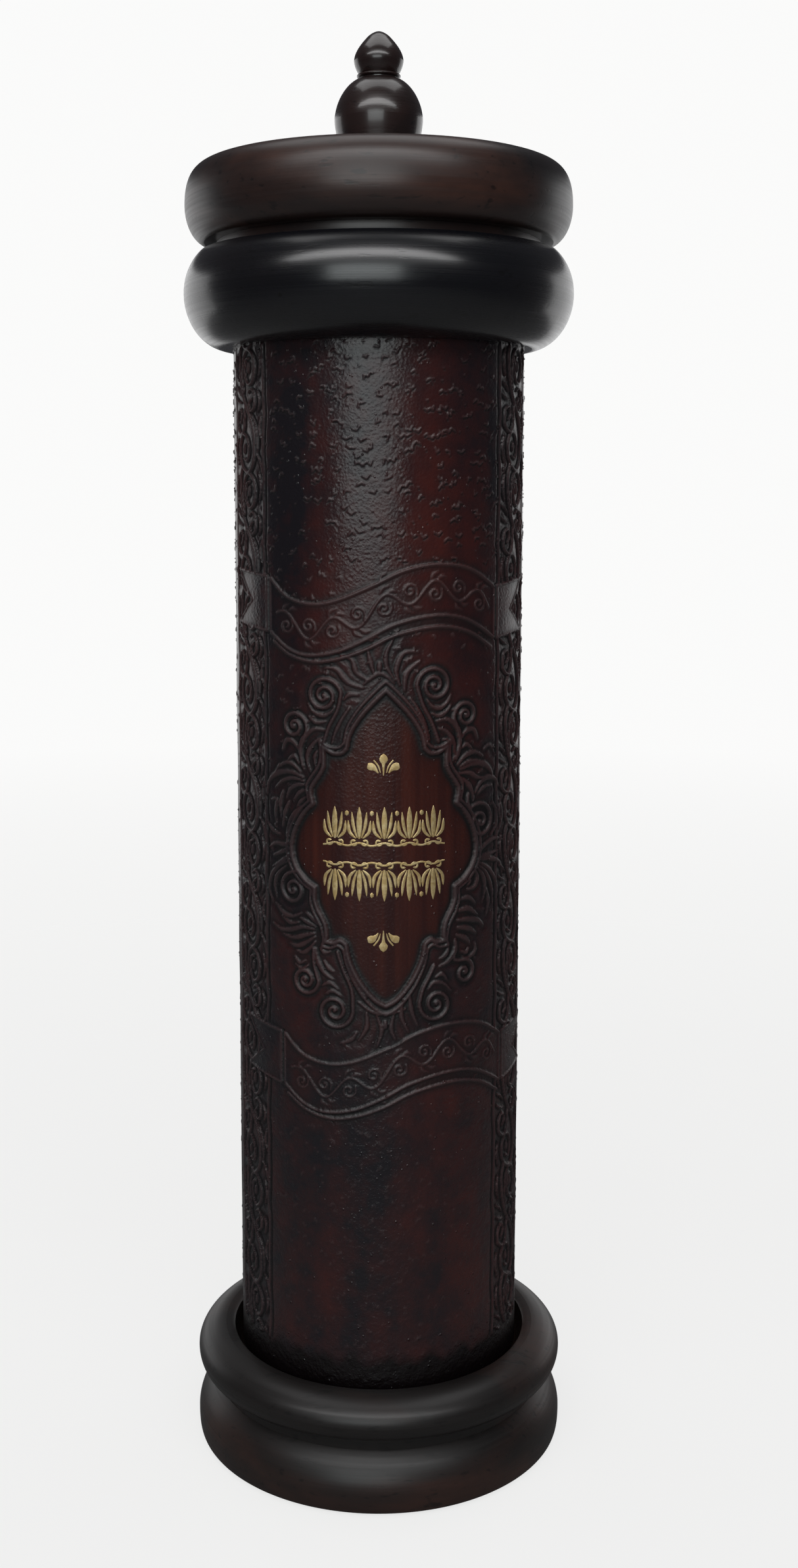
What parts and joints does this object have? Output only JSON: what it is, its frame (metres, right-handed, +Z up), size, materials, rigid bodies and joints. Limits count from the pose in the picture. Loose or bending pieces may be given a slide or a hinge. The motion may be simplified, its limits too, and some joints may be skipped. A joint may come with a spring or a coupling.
{
  "type": "scroll case",
  "caption": "Upright cylindrical scroll case: leather-covered tube between a turned wooden base and collar, with a lift-off turned lid and knob.",
  "frame": {"origin": "centre of the base's underside, on the table", "axes": "+Z up along the tube's axis; -Y is the front, with the gold stamp; +Y is the back, with the leather's seam"},
  "size_m": [0.0852, 0.0852, 0.3167],
  "materials": {
    "base_wood": "satin dark stain",
    "collar_wood": "satin black stain",
    "lid_wood": "satin dark brown stain",
    "knob_wood": "gloss dark brown stain",
    "tube_board": "dark stained rigid tube",
    "leather": "embossed, glazed, dark red-brown",
    "gold_foil": "pale antique gold foil",
    "felt": "dense wool felt",
    "lining_felt": "soft flocked lining",
    "screw_steel": "zinc plated"
  },
  "bodies": {
    "case": {"base_felt": "felt", "base_foot": "base_wood", "base_screws": "screw_steel", "base_ring": "base_wood", "core_tube": "tube_board", "floor_felt": "felt", "chamber_lining": "lining_felt", "leather_cover": "leather", "gold_stamp": "gold_foil", "top_collar": "collar_wood"},
    "friction_ring": {"friction_ring": "felt"},
    "lid": {"plug_felt": "felt", "lid_plug": "lid_wood", "lid_screw": "screw_steel", "lid_top": "lid_wood", "finial_knob": "knob_wood"}
  },
  "joints": [
    {"name": "lid_lift", "type": "slide", "parent": "case", "child": "friction_ring", "axis": [0, 0, 1], "range_m": [0, 0.06]},
    {"name": "lid_turn", "type": "hinge", "parent": "friction_ring", "child": "lid", "pos_m": [0, 0, 0.26], "axis": [0, 0, 1], "continuous": true}
  ]
}
